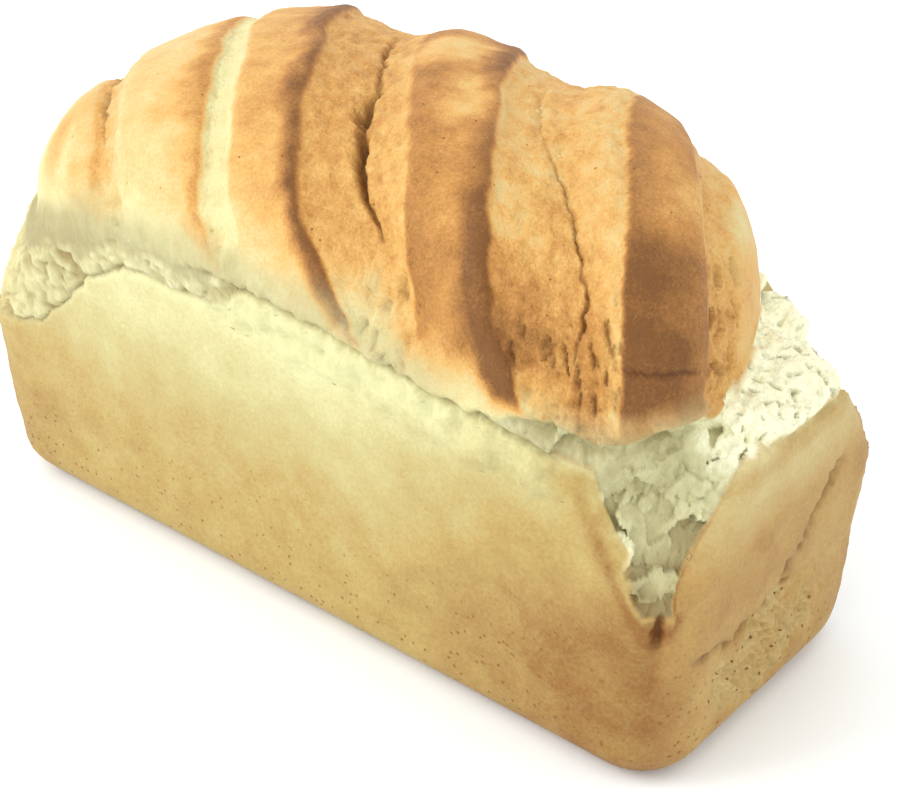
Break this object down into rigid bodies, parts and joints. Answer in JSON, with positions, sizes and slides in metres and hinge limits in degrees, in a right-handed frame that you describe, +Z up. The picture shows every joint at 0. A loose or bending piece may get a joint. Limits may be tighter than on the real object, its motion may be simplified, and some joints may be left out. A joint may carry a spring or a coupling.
{
  "type": "tin loaf",
  "caption": "White tin loaf of bread with straight tin-baked walls, a flat base and a domed top slashed on the diagonal into overlapping browned lobes.",
  "frame": {"origin": "middle of the flat base, on the surface the loaf stands on", "axes": "+X along the loaf's length, +Y across it, +Z up; the long wall that faces -Y and the end that faces +X are the best-seen sides"},
  "size_m": [0.2709, 0.1277, 0.1623],
  "materials": {
    "crust": "baked white-bread crust: dry and matt, pale cream on the walls, golden to reddish brown on the top lobes, torn white crumb at the corners"
  },
  "bodies": {
    "root": {"loaf": "crust"}
  },
  "joints": []
}
